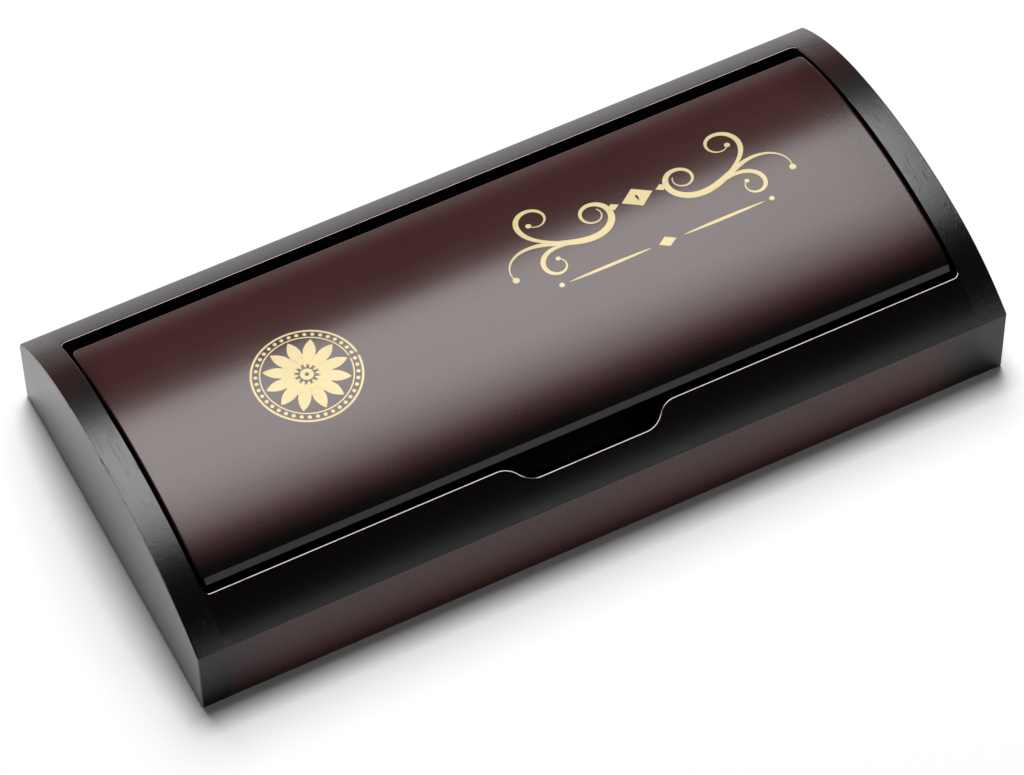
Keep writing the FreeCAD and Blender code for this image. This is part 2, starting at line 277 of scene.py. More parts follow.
def cut_out(piece, cutters):
    """Cuts closed shapes out of a piece and leaves a plain mesh behind."""
    piece.modifiers.remove(piece.modifiers["even shading"])
    for cutter in cutters:
        cut = piece.modifiers.new("cut", "BOOLEAN")
        cut.object = cutter
        cut.solver = "EXACT"
    shape = piece.evaluated_get(bpy.context.evaluated_depsgraph_get())
    mesh = bpy.data.meshes.new_from_object(shape)
    name = piece.name
    for used in [piece] + cutters:
        bpy.data.objects.remove(used)
    return finished(name, mesh)


def wired(tree, kind, inputs=None, **settings):
    """Adds a node with its settings, and sets or links its inputs."""
    node = tree.nodes.new(kind)
    for key, value in settings.items():
        setattr(node, key, value)
    return fed(tree, node, inputs or {})


def maths(tree, operation, first, *others):
    """One sum on a row of values, taken from the left."""
    for other in others or (0.0,):
        inputs = {0: first, 1: other}
        first = wired(tree, "ShaderNodeMath", inputs, operation=operation).outputs[0]
    return first


def ranged(tree, value, low, high, to_low, to_high, kind="LINEAR"):
    inputs = {"Value": value, "From Min": low, "From Max": high,
              "To Min": to_low, "To Max": to_high}
    return wired(tree, "ShaderNodeMapRange", inputs, interpolation_type=kind).outputs["Result"]


def varied(tree, noise_value, to_low, to_high):
    """Noise, which lies mostly between 0.3 and 0.7, spread over a range."""
    return ranged(tree, noise_value, 0.3, 0.7, to_low, to_high)


def own_axes(tree):
    """The x, y and z of each point of the piece, in metres."""
    place = wired(tree, "ShaderNodeTexCoord").outputs["Object"]
    return wired(tree, "ShaderNodeSeparateXYZ", {0: place}).outputs


def pattern(tree, scale, detail=2.0):
    """Noise on the piece's own coordinates, with so many patches a metre along x, y and z."""
    place = wired(tree, "ShaderNodeTexCoord").outputs["Object"]
    stretched = wired(tree, "ShaderNodeMapping", {"Vector": place, "Scale": scale})
    inputs = {"Vector": stretched.outputs["Vector"], "Scale": 1.0, "Detail": detail}
    return wired(tree, "ShaderNodeTexNoise", inputs).outputs["Fac"]


def mixed(tree, share, first, second):
    """Two colours mixed; sockets 0, 6 and 7 are the share and the colours, output 2 the mix."""
    inputs = {0: share, 6: first, 7: second}
    return wired(tree, "ShaderNodeMix", inputs, data_type="RGBA").outputs[2]


def shaded(tree, colour, shade):
    node = wired(tree, "ShaderNodeVectorMath", {0: colour, "Scale": shade}, operation="SCALE")
    return node.outputs["Vector"]


def relief(tree, height, strength, distance):
    inputs = {"Height": height, "Strength": strength, "Distance": distance}
    return wired(tree, "ShaderNodeBump", inputs).outputs["Normal"]


def lacquer(name, fades, along, roughness, warm=red_lacquer, gloss=0.5):
    """Satin lacquer over grained wood, red-brown where every fade is 1 and black elsewhere.

    A fade is (axis, start, end, least): from least at start it rises to 1 at end.
    """
    paint, tree, shader = painted(name)
    axes = own_axes(tree)
    tone = 1.0
    for axis, start, end, least in fades:
        fade = ranged(tree, axes[axis], start, end, least, 1.0, "SMOOTHSTEP")
        tone = maths(tree, "MULTIPLY", fade, tone)
    edge = maths(tree, "MULTIPLY", tone, maths(tree, "SUBTRACT", 1.0, tone))
    speckle = pattern(tree, (3800, 3800, 3800))
    spray = maths(tree, "MULTIPLY", edge, varied(tree, speckle, -0.6, 0.6))
    colour = mixed(tree, maths(tree, "ADD", tone, spray), black_lacquer, warm)

    stretch = (45.0, 1300.0, 1300.0) if along == "x" else (1300.0, 45.0, 1300.0)
    pore_depth, strength = (0.2, 0.5) if along == "x" else (0.9, 0.8)
    grain = pattern(tree, stretch, 5.0)
    cloud = pattern(tree, (40, 40, 40), 3.0)
    shade = maths(tree, "MULTIPLY", ranged(tree, grain, 0.32, 0.68, 0.96, 1.04),
                  varied(tree, cloud, 0.95, 1.05), varied(tree, speckle, 0.92, 1.08))
    dull = maths(tree, "ADD", varied(tree, cloud, roughness - 0.01, roughness + 0.015),
                 ranged(tree, grain, 0.35, 0.65, -0.004, 0.004))
    pores = ranged(tree, pattern(tree, [s * 1.5 for s in stretch], 3.0), 0.30, 0.40, 0.0, 1.0,
                   "SMOOTHSTEP")
    peel = pattern(tree, (900, 900, 900))
    height = maths(tree, "ADD", maths(tree, "MULTIPLY", pores, pore_depth),
                   maths(tree, "MULTIPLY", peel, 0.8), maths(tree, "MULTIPLY", speckle, 0.4))
    fed(tree, shader, {"Base Color": shaded(tree, colour, shade), "Roughness": dull,
                       "IOR": 1.5, "Specular IOR Level": gloss,
                       "Normal": relief(tree, height, strength, 0.00002)})
    return paint


def rubbed_edge(name, colour, under, cover, pale_fades=(), patch=260.0, unlit_spot=None):
    """An arris painted paler in patches, for lacquer rubbed through and for painted highlight.

    Each pale fade is (axis, start, end): the pale fades out from end to start.
    The unlit spot is (middle x, half width) of a place where the painted highlight fades out.
    """
    paint, tree, shader = painted(name)
    pale_share = ranged(tree, pattern(tree, (patch, patch, patch), 5.0),
                  0.62 - 0.4 * cover, 0.78 - 0.4 * cover, 0.0, 1.0)
    axes = own_axes(tree)
    for axis, start, end in pale_fades:
        fade = ranged(tree, axes[axis], start, end, 0.0, 1.0, "SMOOTHSTEP")
        pale_share = maths(tree, "MULTIPLY", pale_share, fade)
    if unlit_spot:
        middle, half = unlit_spot
        off = maths(tree, "ABSOLUTE", maths(tree, "SUBTRACT", axes["X"], middle))
        unlit_fade = ranged(tree, off, half * 0.3, half, 0.0, 1.0, "SMOOTHSTEP")
        pale_share = maths(tree, "MULTIPLY", pale_share, unlit_fade)
    fed(tree, shader, {"Base Color": mixed(tree, pale_share, under, colour), "Roughness": 0.35})
    return paint


def end_outline(inset, drop, rebated):
    """The case's outline in (y, z), drawn in by inset; drop lowers it beside the opening."""
    front, front_meet, start = rounding(-half_depth, 1, crease_radius)
    back, back_meet, end = rounding(half_depth, -1, back_rounding)
    outline = [(-half_depth + foot_chamfer + inset, inset),
               (-half_depth + inset, foot_chamfer + inset)]
    outline += arc_points(front, crease_radius - inset, math.pi, front_meet, 5)
    low, high = opening_front + opening_corner, opening_back - opening_corner
    outline += crown_run(start, low, 8, inset)
    outline += crown_run(low, high, 44, inset + drop)
    outline += crown_run(high, end, 6, inset)
    outline += arc_points(back, back_rounding - inset, back_meet, 0.0, 8)
    outline += [(half_depth - inset, foot_chamfer + inset),
                (half_depth - foot_chamfer - inset, inset)]
    lift = base_top if rebated else inset
    outline += [(opening_back + rebate, inset), (opening_back + rebate, lift),
                (cavity_front - rebate, lift), (cavity_front - rebate, inset)]
    return outline


def end_board(name, side):
    turns = evenly(0.0, math.pi / 2, 4)
    sections = [(inside_x + opening_arris * (1 - math.cos(a)), 0.0,
                 opening_arris * (1 - math.sin(a)), True) for a in turns]
    sections += [(inside_x + rebate, 0.0, 0.0, True), (inside_x + rebate, 0.0, 0.0, False)]
    sections += [(half_length - end_rounding * (1 - math.sin(a)),
                  end_rounding * (1 - math.cos(a)), 0.0, False) for a in turns]
    rows = [[(side * x, y, z) for y, z in end_outline(inset, drop, rebated)]
            for x, inset, drop, rebated in sections]
    return lofted(name, rows)


def dowel_holes(side, places):
    """Bars where dowels go at one end, from the end board into the rails."""
    start = side * (inside_x + dowel_in_end)
    end = side * (inside_x + dowel_in_end - dowel_length)
    return [round_bar(dowel_radius, (start, y, z), (end, y, z)) for y, z in places]


def part_finishes(board, side):
    """The outer face's rounded top edge gets finish 1, the front end 2, the outer face 3."""
    for face in board.data.polygons:
        outer = side * face.center.x > half_length - end_rounding
        tilted = 0.30 < abs(face.normal.x) < 0.85
        if outer and tilted and face.center.z > edge_height - 0.001:
            face.material_index = 1
        elif outer and abs(face.normal.x) > 0.9:
            face.material_index = 3
        elif face.normal.y < -0.9 and face.center.y < 0.001 - half_depth:
            face.material_index = 2


pin_low, pin_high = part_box("right_hinge_pin")
pin_y, pin_z = (pin_low.y + pin_high.y) / 2, (pin_low.z + pin_high.z) / 2
pin_radius = (pin_high.y - pin_low.y) / 2
faint_brown = (0.0190, 0.0066, 0.0060, 1.0)
# Grey painted into the black lacquer of the outer end faces: a painted reflection of the pale
# floor.
painted_reflection_grey = (0.0600, 0.0585, 0.0585, 1.0)
end_finishes = [
    lacquer("black_end_lacquer", [("Y", 0.013, 0.026, 0.0)], "y", 0.24, faint_brown, 0.62),
    # Top edge of the outer faces: paler from worn lacquer and from painted highlight, fading out
    # towards the front and the back.
    rubbed_edge("end_arris", worn_and_lit_pink, black_lacquer, 0.88,
                [("Y", -0.034, -0.012), ("Y", 0.042, 0.037)]),
    lacquer("end_front_lacquer", [], "y", 0.28, black_lacquer, 0.30),
    # Outer end faces: black lacquer with grey painted in as a painted reflection.
    lacquer("end_face_lacquer", [], "y", 0.25, painted_reflection_grey, 0.55)]
for name, side in (("left_end", -1), ("right_end", 1)):
    board = end_board(name, side)
    for finish in end_finishes:
        board.data.materials.append(finish)
    pin_hole = round_bar(pin_radius, (side * pin_high.x, pin_y, pin_z), (0.0, pin_y, pin_z))
    board = cut_out(board, dowel_holes(side, front_dowels + back_dowels) + [pin_hole])
    part_finishes(board, side)
    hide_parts(name + "_board")
    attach(board, "case")

# Front rail
# The upright front of the case with the lower part of the crown, one length of hardwood.
# Its back edge is cut for the lid, with a ledge that the lid closes on, and dips forward in
# two S bends for the finger notch. The cut edge carries a pale, patchy painted highlight,
# which fades out at the notch's left bend and stops at the left corner.
notch_land = 0.00555
notch_flat = 0.0228
notch_mouth = 0.0382
notch_centre = -0.0010
notch_floor = 0.0124
notch_back = -0.0283
ledge_height = 0.0142
# Extra width of the painted highlight strip beyond the rounded edge.
highlight_margin = 0.00002
foot_line = 0.00015
magnet_radius = 0.0020
magnet_x = 0.0580
magnet_y = (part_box("rail_magnets")[0].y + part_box("rail_magnets")[1].y) / 2
magnet_depth = 0.0018
overcut = 0.002

# Colour of the painted highlight on the opening's front edge.
edge_highlight_colour = (0.78, 0.68, 0.67, 1.0)


def opening_corners(wall, out):
    """Points ((x, y), (into the wood x, y)) round the opening's left and right corners."""
    left, right = [[((side * (inside_x - opening_corner * (1 - math.sin(a))),
                      wall - out * opening_corner * (1 - math.cos(a))),
                     (side * math.sin(a), out * math.cos(a)))
                    for a in evenly(0.0, math.pi / 2, 8)[1:]] for side in (-1, 1)]
    return left[::-1], right


def notch_path():
    """The opening's front edge in plan: ((x, y), (into the wood x, y), floor height)."""
    step = front_land - notch_land
    reach = (notch_mouth - notch_flat) / 2
    bend = (reach ** 2 + step ** 2) / (4 * step)
    sweep = math.asin(reach / (2 * bend))
    wall = notch_land - half_depth
    corner_x = inside_x - opening_corner
    half = [((x, wall), (0.0, -1.0), notch_floor) for x in evenly(0.0, notch_flat / 2, 6)]
    half += [((notch_flat / 2 + bend * math.sin(a), wall + bend * (1 - math.cos(a))),
              (math.sin(a), -math.cos(a)), notch_floor) for a in evenly(0.0, sweep, 12)[1:]]
    half += [((notch_mouth / 2 - bend * math.sin(a), opening_front - bend * (1 - math.cos(a))),
              (math.sin(a), -math.cos(a)), notch_floor) for a in evenly(sweep, 0.0, 12)[1:]]
    half.append(((notch_mouth / 2, opening_front), (0.0, -1.0), ledge_height))
    path = [((notch_centre - p[0], p[1]), (-n[0], n[1]), f) for p, n, f in reversed(half[1:])]
    path += [((notch_centre + p[0], p[1]), n, f) for p, n, f in half]
    left, right = path[0][0][0], path[-1][0][0]
    before, after = [[((x, opening_front), (0.0, -1.0), ledge_height) for x in run] for run in
                     (evenly(-corner_x, left, 14)[:-1], evenly(right, corner_x, 14)[1:])]
    left_turn, right_turn = ([(place, out, ledge_height) for place, out in turn]
                             for turn in opening_corners(opening_front, -1))
    return left_turn + before + path + after + right_turn


def front_rail():
    crease, meet, start_y = rounding(-half_depth, 1, crease_radius)
    crease_points = arc_points(crease, crease_radius, math.pi, meet, 5)
    crown_steps = 8
    sections = []
    for (x, y), (out_x, out_y), floor_z in notch_path():
        section = [(x, -half_depth + foot_chamfer, 0.0), (x, -half_depth, foot_chamfer),
                   (x, -half_depth, foot_chamfer + foot_line)]
        section += [(x, py, pz) for py, pz in crease_points]

        def beside(distance):
            side_x = max(-inside_x, min(inside_x, x + out_x * distance))
            return side_x, y + out_y * distance

        bx, by = beside(opening_arris + highlight_margin)
        for share in evenly(0.0, 1.0, crown_steps)[1:]:
            py = start_y + (by - start_y) * share
            section.append((x + (bx - x) * share, py, crown_z(py)))
        for a in evenly(0.0, math.pi / 2, 4):
            px, py = beside(opening_arris * (1 - math.sin(a)))
            section.append((px, py, crown_z(py) - opening_arris * (1 - math.cos(a))))
        section += [(x, y, floor_z), (x, notch_back, floor_z), (x, notch_back, ledge_height),
                    (x, cavity_front, ledge_height), (x, cavity_front, base_top),
                    (x, cavity_front - rebate, base_top), (x, cavity_front - rebate, 0.0)]
        sections.append(section)
    # Strips pale and pale + 1 carry the painted highlight; strip 1 is the worn foot edge.
    pale = 3 + len(crease_points) + crown_steps - 1
    rail = lofted("front_rail_wood", sections, {1: 2, pale: 1, pale + 1: 1})
    # The painted highlight stops at the opening's left corner and goes on round the right one.
    for face in rail.data.polygons:
        if face.material_index == 1 and face.center.x < opening_corner / 2 - inside_x:
            face.material_index = 0
        elif face.material_index == 0 and face.normal.y < -0.98:
            face.material_index = 3
    return rail


rail = front_rail()
front_red = (0.0500, 0.0140, 0.0130, 1.0)
crown_black = (0.0014, 0.0006, 0.0006, 1.0)
rail.data.materials.append(lacquer("front_crown", [], "x", 0.20, crown_black))
# The painted highlight fades out at the notch's left bend.
left_bend = notch_centre - notch_flat / 2 - 0.0020
rail.data.materials.append(rubbed_edge("pale_arris", edge_highlight_colour, (0.10, 0.06, 0.055, 1.0), 0.95,
                                       unlit_spot=(left_bend, 0.0018)))
rail.data.materials.append(rubbed_edge("foot_edge", (0.20, 0.18, 0.17, 1.0), black_lacquer,
                                       0.60, patch=500.0))
rail.data.materials.append(lacquer(
    "front_face", [("X", -0.0880, -0.0680, 0.06), ("X", 0.0815, 0.0690, 0.02)],
    "x", 0.22, front_red, 0.26))
seats = [round_bar(magnet_radius, (side * magnet_x, magnet_y, ledge_height - magnet_depth),
                   (side * magnet_x, magnet_y, ledge_height + overcut)) for side in (-1, 1)]
rail = cut_out(rail, seats + dowel_holes(-1, front_dowels) + dowel_holes(1, front_dowels))
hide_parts("front_rail")
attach(rail, "case")

# Back rail
# The narrow rail behind the lid, of the same wood. Its outer edge is well rounded, and its
# inner edge shows a thin pale pink line, partly lacquer rubbed through, partly painted highlight.
# Colour of the thin line on the inner edge: worn lacquer and painted highlight.
thin_worn_highlight = (0.60, 0.45, 0.43, 1.0)


def back_rail():
    back, back_meet, end_y = rounding(half_depth, -1, back_rounding)
    left_turn, right_turn = opening_corners(opening_back, 1)
    corner_x = inside_x - opening_corner
    straight = [((x, opening_back), (0.0, 1.0)) for x in evenly(-corner_x, corner_x, 24)]
    sections = []
    for (x, y), (out_x, out_y) in left_turn + straight + right_turn:
        section = [(x, opening_back, ledge_height), (x, y, ledge_height)]
        for a in evenly(0.0, math.pi / 2, 4):
            shift = opening_arris * (1 - math.cos(a))
            px = max(-inside_x, min(inside_x, x + out_x * shift))
            py = y + out_y * shift
            section.append((px, py, crown_z(py) - opening_arris * (1 - math.sin(a))))
        last_x, start_y = section[-1][0], section[-1][1]
        for share in evenly(0.0, 1.0, 6)[1:]:
            py = start_y + (end_y - start_y) * share
            section.append((last_x + (x - last_x) * share, py, crown_z(py)))
        section += [(x, py, pz)
                    for py, pz in arc_points(back, back_rounding, back_meet, 0.0, 8)[1:]]
        section += [(x, half_depth, foot_chamfer), (x, half_depth - foot_chamfer, 0.0),
                    (x, opening_back + rebate, 0.0), (x, opening_back + rebate, base_top),
                    (x, opening_back, base_top)]
        sections.append(section)
    return lofted("back_rail_wood", sections, {4: 1})


rail = back_rail()
rail.data.materials.append(lacquer("back_lacquer", [("Y", 0.0410, 0.0415, 0.12)], "x", 0.22))
# Inner edge strip: pale pink from worn lacquer and from painted highlight.
rail.data.materials.append(rubbed_edge("thin_arris", thin_worn_highlight, red_lacquer, 0.85))
rail = cut_out(rail, dowel_holes(-1, back_dowels) + dowel_holes(1, back_dowels))
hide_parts("back_rail")
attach(rail, "case")

# Corner dowels
# Eight beech dowels, glued across the joints between the end boards and the rails.
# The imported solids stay, and get the colour and the long fine flecks of beech.
beech_light = (0.62, 0.44, 0.27, 1.0)
beech_dark = (0.46, 0.29, 0.16, 1.0)


def bare_wood(name, light, dark, stretch, layer=None):
    """Sanded wood with its grain along the first axis; layer is (low z, high z, darker by)."""
    paint, tree, shader = painted(name)
    grain = pattern(tree, stretch, 5.0)
    colour = mixed(tree, varied(tree, grain, 0.0, 1.0), light, dark)
    flecks = pattern(tree, [s * 2.4 for s in stretch], 3.0)
    shade = ranged(tree, flecks, 0.58, 0.66, 1.0, 0.78)
    if layer:
        low, high, darker = layer
        height = own_axes(tree)["Z"]
        inside = maths(tree, "MULTIPLY", maths(tree, "GREATER_THAN", height, low),
                       maths(tree, "LESS_THAN", height, high))
        shade = maths(tree, "MULTIPLY", shade, ranged(tree, inside, 0.0, 1.0, 1.0, darker))
    fed(tree, shader, {"Base Color": shaded(tree, colour, shade),
                       "Roughness": varied(tree, grain, 0.55, 0.75),
                       "Normal": relief(tree, grain, 0.4, 0.00004)})
    return paint


beech = bare_wood("beech", beech_light, beech_dark, (120, 1500, 1500))
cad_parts["corner_dowels"].data.materials[0] = beech

# Base board
# Thin plywood of three plies, glued into a rebate under the frame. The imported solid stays;
# its middle ply runs crosswise and shows darker at the edge.
ply_thickness = (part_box("base_board")[1].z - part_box("base_board")[0].z) / 3
ply_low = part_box("base_board")[0].z + ply_thickness
birch_ply = bare_wood("birch_ply", (0.66, 0.52, 0.36, 1.0), (0.54, 0.40, 0.26, 1.0),
                      (30, 420, 420), (ply_low, ply_low + ply_thickness, 0.62))
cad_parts["base_board"].data.materials[0] = birch_ply

# Base felt
# A sheet of black pressed felt glued under the base, level with the frame's foot.
# Its cut edge is soft and its surface slightly uneven.
felt_black = (0.030, 0.030, 0.032)


def edge_stations(start, end, edge, step, shares):
    """Places along one side, closer together where the edge is rounded."""
    count = max(2, round((end - start - 2 * edge) / step))
    inner = evenly(start + edge, end - edge, count)
    rim = [edge * share for share in shares]
    return [start + r for r in rim] + inner + [end - r for r in reversed(rim)]


def grid_faces(first, rows, columns):
    """Faces over a grid of points that are numbered row after row."""
    corners = [first + i * columns + j for i in range(rows - 1) for j in range(columns - 1)]
    return [(a, a + 1, a + columns + 1, a + columns) for a in corners]


def soft_slab(name, low, high, thin, step, edge, uneven):
    """A thin slab of fabric with pressed-down edges: thin is its thin axis, 0, 1 or 2."""
    u_axis, v_axis = [a for a in range(3) if a != thin]
    us, vs = [edge_stations(low[a], high[a], edge, step, (0.0, 0.12, 0.38))
              for a in (u_axis, v_axis)]
    middle, half = (low[thin] + high[thin]) / 2, (high[thin] - low[thin]) / 2
    points = []
    for side in (-1, 1):
        for u in us:
            for v in vs:
                border = min(u - us[0], us[-1] - u, v - vs[0], vs[-1] - v)
                full = (1 - (1 - min(1.0, border / edge)) ** 3) ** (1 / 3)
                dip = uneven * (0.5 + 0.5 * noise.noise((u * 190, v * 190, 7.0 * side)))
                point = [0.0, 0.0, 0.0]
                point[u_axis], point[v_axis] = u, v
                point[thin] = middle + side * full * (half - dip)
                points.append(point)
    faces = [face for first in (0, len(us) * len(vs))
             for face in grid_faces(first, len(us), len(vs))]
    return finished(name, mesh_of(name, points, faces), 2.5)


def pressed_felt(name, colour):
    """Matted fibres: a fine mottle, with a few paler hairs."""
    paint, tree, shader = painted(name)
    mat = pattern(tree, (900, 900, 900), 6.0)
    hairs = ranged(tree, pattern(tree, (700, 3200, 3200), 3.0), 0.60, 0.70, 1.0, 1.6)
    shade = maths(tree, "MULTIPLY", varied(tree, mat, 0.65, 1.35), hairs)
    fed(tree, shader, {"Base Color": shaded(tree, colour, shade), "Roughness": 0.95,
                       "Specular IOR Level": 0.2, "Sheen Weight": 0.25,
                       "Normal": relief(tree, mat, 0.8, 0.0001)})
    return paint


felt_low, felt_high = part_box("base_felt")
felt = soft_slab("felt_pad", felt_low, felt_high, 2, 0.0012, 0.00035, 0.00008)
felt.data.materials.append(pressed_felt("black_felt", felt_black))
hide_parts("base_felt")
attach(felt, "case")

# Wall linings
# Four strips of card covered in black velvet, glued round the inside walls above the base.
# The velvet is turned over the card, so every edge is rounded.
velvet_black = (0.036, 0.031, 0.033)


def velvet(name, colour):
    """Short black pile: brushed patches, a fine nap and a pale sheen at a slant."""
    paint, tree, shader = painted(name)
    brushed = pattern(tree, (170, 320, 320), 4.0)
    nap = pattern(tree, (5200, 5200, 5200))
    shade = maths(tree, "MULTIPLY", varied(tree, brushed, 0.85, 1.18),
                  varied(tree, nap, 0.7, 1.3))
    height = maths(tree, "ADD", brushed, nap)
    fed(tree, shader, {"Base Color": shaded(tree, colour, shade),
                       "Roughness": varied(tree, brushed, 0.80, 0.98),
                       "Specular IOR Level": 0.15, "Sheen Weight": 0.55,
                       "Sheen Roughness": 0.35, "Sheen Tint": (0.80, 0.76, 0.78, 1.0),
                       "Normal": relief(tree, height, 0.6, 0.00005)})
    return paint


black_velvet = velvet("black_velvet", velvet_black)
for wall, thin in (("front", 1), ("back", 1), ("left", 0), ("right", 0)):
    low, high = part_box(wall + "_wall_lining")
    strip = soft_slab(wall + "_lining_strip", low, high, thin, 0.0011, 0.0004, 0.00010)
    strip.data.materials.append(black_velvet)
    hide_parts(wall + "_wall_lining")
    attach(strip, "case")

# Pen tray
# A firm insert covered in black velvet, pressed in between the linings. Two round grooves
# with ball ends hold the pens, and a scoop across them lets a finger under.
tray_low, tray_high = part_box("pen_tray")
groove_radius = 0.0065
groove_depth = 0.0043
groove_length = 0.1500
groove_spacing = 0.0270
scoop_width = 0.0260
scoop_depth = 0.0042
scoop_reach = 0.0460
scoop_run_out = 0.0030
clear_above = 0.0002
tray_lip = 0.0008
lip_softness = 0.0007
velvet_give = 0.00007
tray_step = 0.00058


def lower_of(first, second):
    """The lower of two heights, with the crease between them rounded."""
    near = max(0.0, 1 - abs(first - second) / lip_softness)
    return min(first, second) - near ** 2 * lip_softness / 4


def tray_surface(x, y):
    top, middle = tray_high.z, (tray_low.y + tray_high.y) / 2
    height = top
    axis = top - groove_depth + groove_radius
    past = max(0.0, abs(x) - (groove_length / 2 - groove_radius))
    for side in (-1, 1):
        off = math.hypot(past, y - middle - side * groove_spacing / 2)
        if off < groove_radius:
            height = lower_of(height, axis - math.sqrt(groove_radius ** 2 - off ** 2))
    scoop_radius = (scoop_width ** 2 / 4 + scoop_depth ** 2) / (2 * scoop_depth)
    if abs(x) < scoop_width / 2 + 0.002:
        bowl = scoop_radius - scoop_depth - math.sqrt(scoop_radius ** 2 - x ** 2)
        run_out = min(1.0, max(0.0, (scoop_reach / 2 - abs(y - middle)) / scoop_run_out))
        run_out = run_out ** 2 * (3 - 2 * run_out)
        height = lower_of(height, top + min(clear_above, bowl) * run_out
                          + clear_above * (1 - run_out))
    border = min(x - tray_low.x, tray_high.x - x, y - tray_low.y, tray_high.y - y)
    if border < tray_lip:
        height -= tray_lip - math.sqrt(tray_lip ** 2 - (tray_lip - border) ** 2)
    give = noise.noise((x * 120, y * 120, 3.0)) + 0.5 * noise.noise((x * 420, y * 420, 9.0))
    return height - velvet_give * (1 + give) * min(1.0, border / tray_lip)


def tray_insert():
    """The upper surface as a fine grid, with four sides and a flat underside."""
    xs, ys = [edge_stations(low, high, tray_lip, tray_step, (0.0, 0.08, 0.25, 0.55))
              for low, high in ((tray_low.x, tray_high.x), (tray_low.y, tray_high.y))]
    points = [(x, y, tray_surface(x, y)) for x in xs for y in ys]
    wide, deep = len(xs), len(ys)
    faces = grid_faces(0, wide, deep)
    loop = [i * deep for i in range(wide)] + [(wide - 1) * deep + j for j in range(1, deep)]
    loop += [i * deep + deep - 1 for i in range(wide - 2, -1, -1)]
    loop += [j for j in range(deep - 2, 0, -1)]
    first = len(points)
    points += [(points[k][0], points[k][1], tray_low.z) for k in loop]
    for i in range(len(loop)):
        j = (i + 1) % len(loop)
        faces.append((loop[i], loop[j], first + j, first + i))
    faces.append(tuple(range(first, first + len(loop))))
    return finished("tray_insert", mesh_of("tray_insert", points, faces), 1.2)


tray = tray_insert()
tray.data.materials.append(black_velvet)
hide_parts("pen_tray")
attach(tray, "case")

# Rail magnets
# Two nickel-plated discs let into the ledge, level with it, to hold the lid's front down.
# Each has a small bevel round its face.
magnet_bevel = 0.00015
magnet_play = 0.00002


def metal(name, colour, roughness, stretch):
    """Plated or turned metal with fine scratches along the short side of stretch."""
    paint, tree, shader = painted(name)
    marks = pattern(tree, stretch, 4.0)
    fed(tree, shader, {"Base Color": shaded(tree, colour, varied(tree, marks, 0.82, 1.08)),
                       "Roughness": varied(tree, marks, roughness - 0.05, roughness + 0.10),
                       "Metallic": 1.0, "Normal": relief(tree, marks, 0.2, 0.000005)})
    return paint


def new_tree(name, sizes):
    """An empty tree of geometry nodes with named inputs, its input node and its output."""
    tree = bpy.data.node_groups.new(name, "GeometryNodeTree")
    tree.interface.new_socket("Shape", in_out="INPUT", socket_type="NodeSocketGeometry")
    for label, value in sizes.items():
        kind = "NodeSocketInt" if isinstance(value, int) else "NodeSocketFloat"
        tree.interface.new_socket(label, in_out="INPUT", socket_type=kind)
    tree.interface.new_socket("Result", in_out="OUTPUT", socket_type="NodeSocketGeometry")
    return tree, wired(tree, "NodeGroupInput").outputs, wired(tree, "NodeGroupOutput").inputs


def grown(name, tree, sizes, seed):
    """Runs a tree on a small seed mesh with these sizes, and keeps the result as plain mesh."""
    worker = added(name, seed)
    nodes = worker.modifiers.new("made", "NODES")
    nodes.node_group = tree
    for socket in tree.interface.items_tree:
        if socket.in_out == "INPUT" and socket.name in sizes:
            nodes[socket.identifier] = sizes[socket.name]
    shape = worker.evaluated_get(bpy.context.evaluated_depsgraph_get())
    mesh = bpy.data.meshes.new_from_object(shape)
    bpy.data.objects.remove(worker)
    return finished(name, mesh)


def disc_mesh(radius, low, high, y):
    """A disc at X 0 with bevelled rims."""
    profile = [(0.0, low), (radius - magnet_bevel, low), (radius, low + magnet_bevel),
               (radius, high - magnet_bevel), (radius - magnet_bevel, high), (0.0, high)]
    sides = 36
    points, faces = [], []
    for i in range(sides):
        a = 2 * math.pi * i / sides
        points += [(r * math.cos(a), y + r * math.sin(a), z) for r, z in profile]
    for i in range(sides):
        for k in range(len(profile) - 1):
            a, b = i * len(profile) + k, (i + 1) % sides * len(profile) + k
            faces.append((a, b, b + 1, a + 1))
    return mesh_of("disc", points, faces)


def vector(tree, x=0.0, y=0.0, z=0.0):
    return wired(tree, "ShaderNodeCombineXYZ", {0: x, 1: y, 2: z}).outputs[0]


def copied(tree, shape, line, turn=(0.0, 0.0, 0.0)):
    """Copies of a shape at the points of a line, made real."""
    places = wired(tree, "GeometryNodeMeshLine", line).outputs[0]
    copies = wired(tree, "GeometryNodeInstanceOnPoints",
                   {"Points": places, "Instance": shape, "Rotation": turn})
    return wired(tree, "GeometryNodeRealizeInstances", {0: copies.outputs[0]}).outputs[0]


def coated(tree, shape, paint, end):
    """Gives a tree's shape its material and leads it to the tree's output."""
    done = wired(tree, "GeometryNodeSetMaterial", {"Geometry": shape, "Material": paint})
    tree.links.new(done.outputs[0], end[0])


nickel = metal("nickel_plate", (0.72, 0.71, 0.70), 0.24, (400, 5200, 400))
pair_sizes = {"Half spacing": magnet_x, "Count": 2}
pair_tree, pair_in, pair_out = new_tree("magnet_pair", pair_sizes)
half_spacing = pair_in["Half spacing"]
discs = copied(pair_tree, pair_in["Shape"], {
    "Count": pair_in["Count"],
    "Start Location": vector(pair_tree, maths(pair_tree, "MULTIPLY", half_spacing, -1.0)),
    "Offset": vector(pair_tree, maths(pair_tree, "MULTIPLY", half_spacing, 2.0))})
coated(pair_tree, discs, nickel, pair_out)

for node, body in (("rail_magnets", "case"), ("lid_magnets", "lid")):
    low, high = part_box(node)
    seed = disc_mesh(magnet_radius - magnet_play, low.z, high.z, magnet_y)
    magnets = grown(node.replace("magnets", "discs"), pair_tree, pair_sizes, seed)
    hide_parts(node)
    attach(magnets, body)

